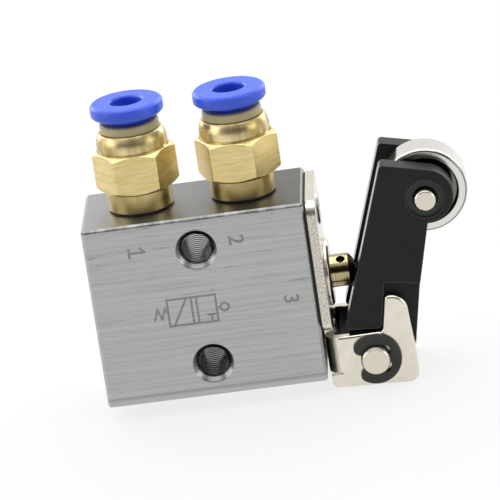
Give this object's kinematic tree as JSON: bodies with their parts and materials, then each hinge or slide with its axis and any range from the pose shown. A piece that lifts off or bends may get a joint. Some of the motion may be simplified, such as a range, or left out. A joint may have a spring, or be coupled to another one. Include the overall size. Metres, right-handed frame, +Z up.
{
  "type": "roller lever air valve",
  "caption": "Small brushed block air valve worked by a sprung roller lever, with brass push-in tube fittings on top and tapped mounting holes through the block.",
  "frame": {"origin": "midway between the two mounting holes, at mid thickness of the block", "axes": "+X from the block to the roller lever, +Y through the mounting holes to the back face, +Z up to the tube fittings"},
  "size_m": [0.052, 0.0168, 0.0426],
  "materials": {
    "body_aluminium": "brushed",
    "fitting_brass": "turned, satin",
    "valve_brass": "turned, bright",
    "bracket_nickel": "nickel plated steel sheet",
    "roller_nickel": "nickel plated, polished tread",
    "pin_steel": "turned ends",
    "screw_steel": "zinc plated",
    "spring_steel": "drawn wire",
    "clip_black": "black oxide",
    "lever_plastic": "moulded, satin",
    "collar_blue": "moulded",
    "sleeve_beige": "moulded",
    "rubber_black": "matt"
  },
  "bodies": {
    "base": {"valve_body": "body_aluminium", "end_plug": "valve_brass", "end_plug_seal": "rubber_black", "poppet_spring": "spring_steel", "plunger_spring": "spring_steel", "plunger_seal": "rubber_black", "guide_bush": "bracket_nickel", "bush_seal": "rubber_black", "bracket_gasket": "rubber_black", "bracket": "bracket_nickel", "bracket_screws": "screw_steel", "pivot_pin": "pin_steel", "pivot_clips": "clip_black", "supply_fitting": "fitting_brass", "supply_washer": "rubber_black", "supply_tube_seal": "rubber_black", "supply_grip_ring": "spring_steel", "supply_sleeve": "sleeve_beige", "outlet_fitting": "fitting_brass", "outlet_washer": "rubber_black", "outlet_tube_seal": "rubber_black", "outlet_grip_ring": "spring_steel", "outlet_sleeve": "sleeve_beige"},
    "lever": {"lever": "lever_plastic", "roller_pin": "pin_steel"},
    "roller": {"roller": "roller_nickel"},
    "plunger": {"plunger": "valve_brass"},
    "poppet": {"poppet": "valve_brass", "poppet_disc": "rubber_black"},
    "supply_release": {"supply_collar": "collar_blue"},
    "outlet_release": {"outlet_collar": "collar_blue"}
  },
  "joints": [
    {"name": "lever_pivot", "type": "hinge", "parent": "base", "child": "lever", "pos_m": [0.02176, 0, -0.01075], "axis": [0, -1, 0], "range_deg": [0, 9], "stiffness_Nm_per_rad": 0.06, "springref_deg": -34.38},
    {"name": "roller_spin", "type": "hinge", "parent": "lever", "child": "roller", "pos_m": [0.0312, 0, 0.01055], "axis": [0, -1, 0], "continuous": true},
    {"name": "plunger_slide", "type": "slide", "parent": "base", "child": "plunger", "axis": [-1, 0, 0], "range_m": [0, 0.00151], "deforming": ["plunger_spring"]},
    {"name": "poppet_slide", "type": "slide", "parent": "base", "child": "poppet", "axis": [-1, 0, 0], "range_m": [0, 0.00076], "deforming": ["poppet_spring"]},
    {"name": "supply_collar_press", "type": "slide", "parent": "base", "child": "supply_release", "axis": [0, 0, -1], "range_m": [0, 0.0007], "stiffness_N_per_m": 300},
    {"name": "outlet_collar_press", "type": "slide", "parent": "base", "child": "outlet_release", "axis": [0, 0, -1], "range_m": [0, 0.0007], "stiffness_N_per_m": 300}
  ],
  "couplings": [
    {"joint": "plunger_slide", "follows": "lever_pivot", "m_per_rad": 0.00956},
    {"joint": "poppet_slide", "follows": "lever_pivot", "m_per_rad": 0.00478}
  ]
}
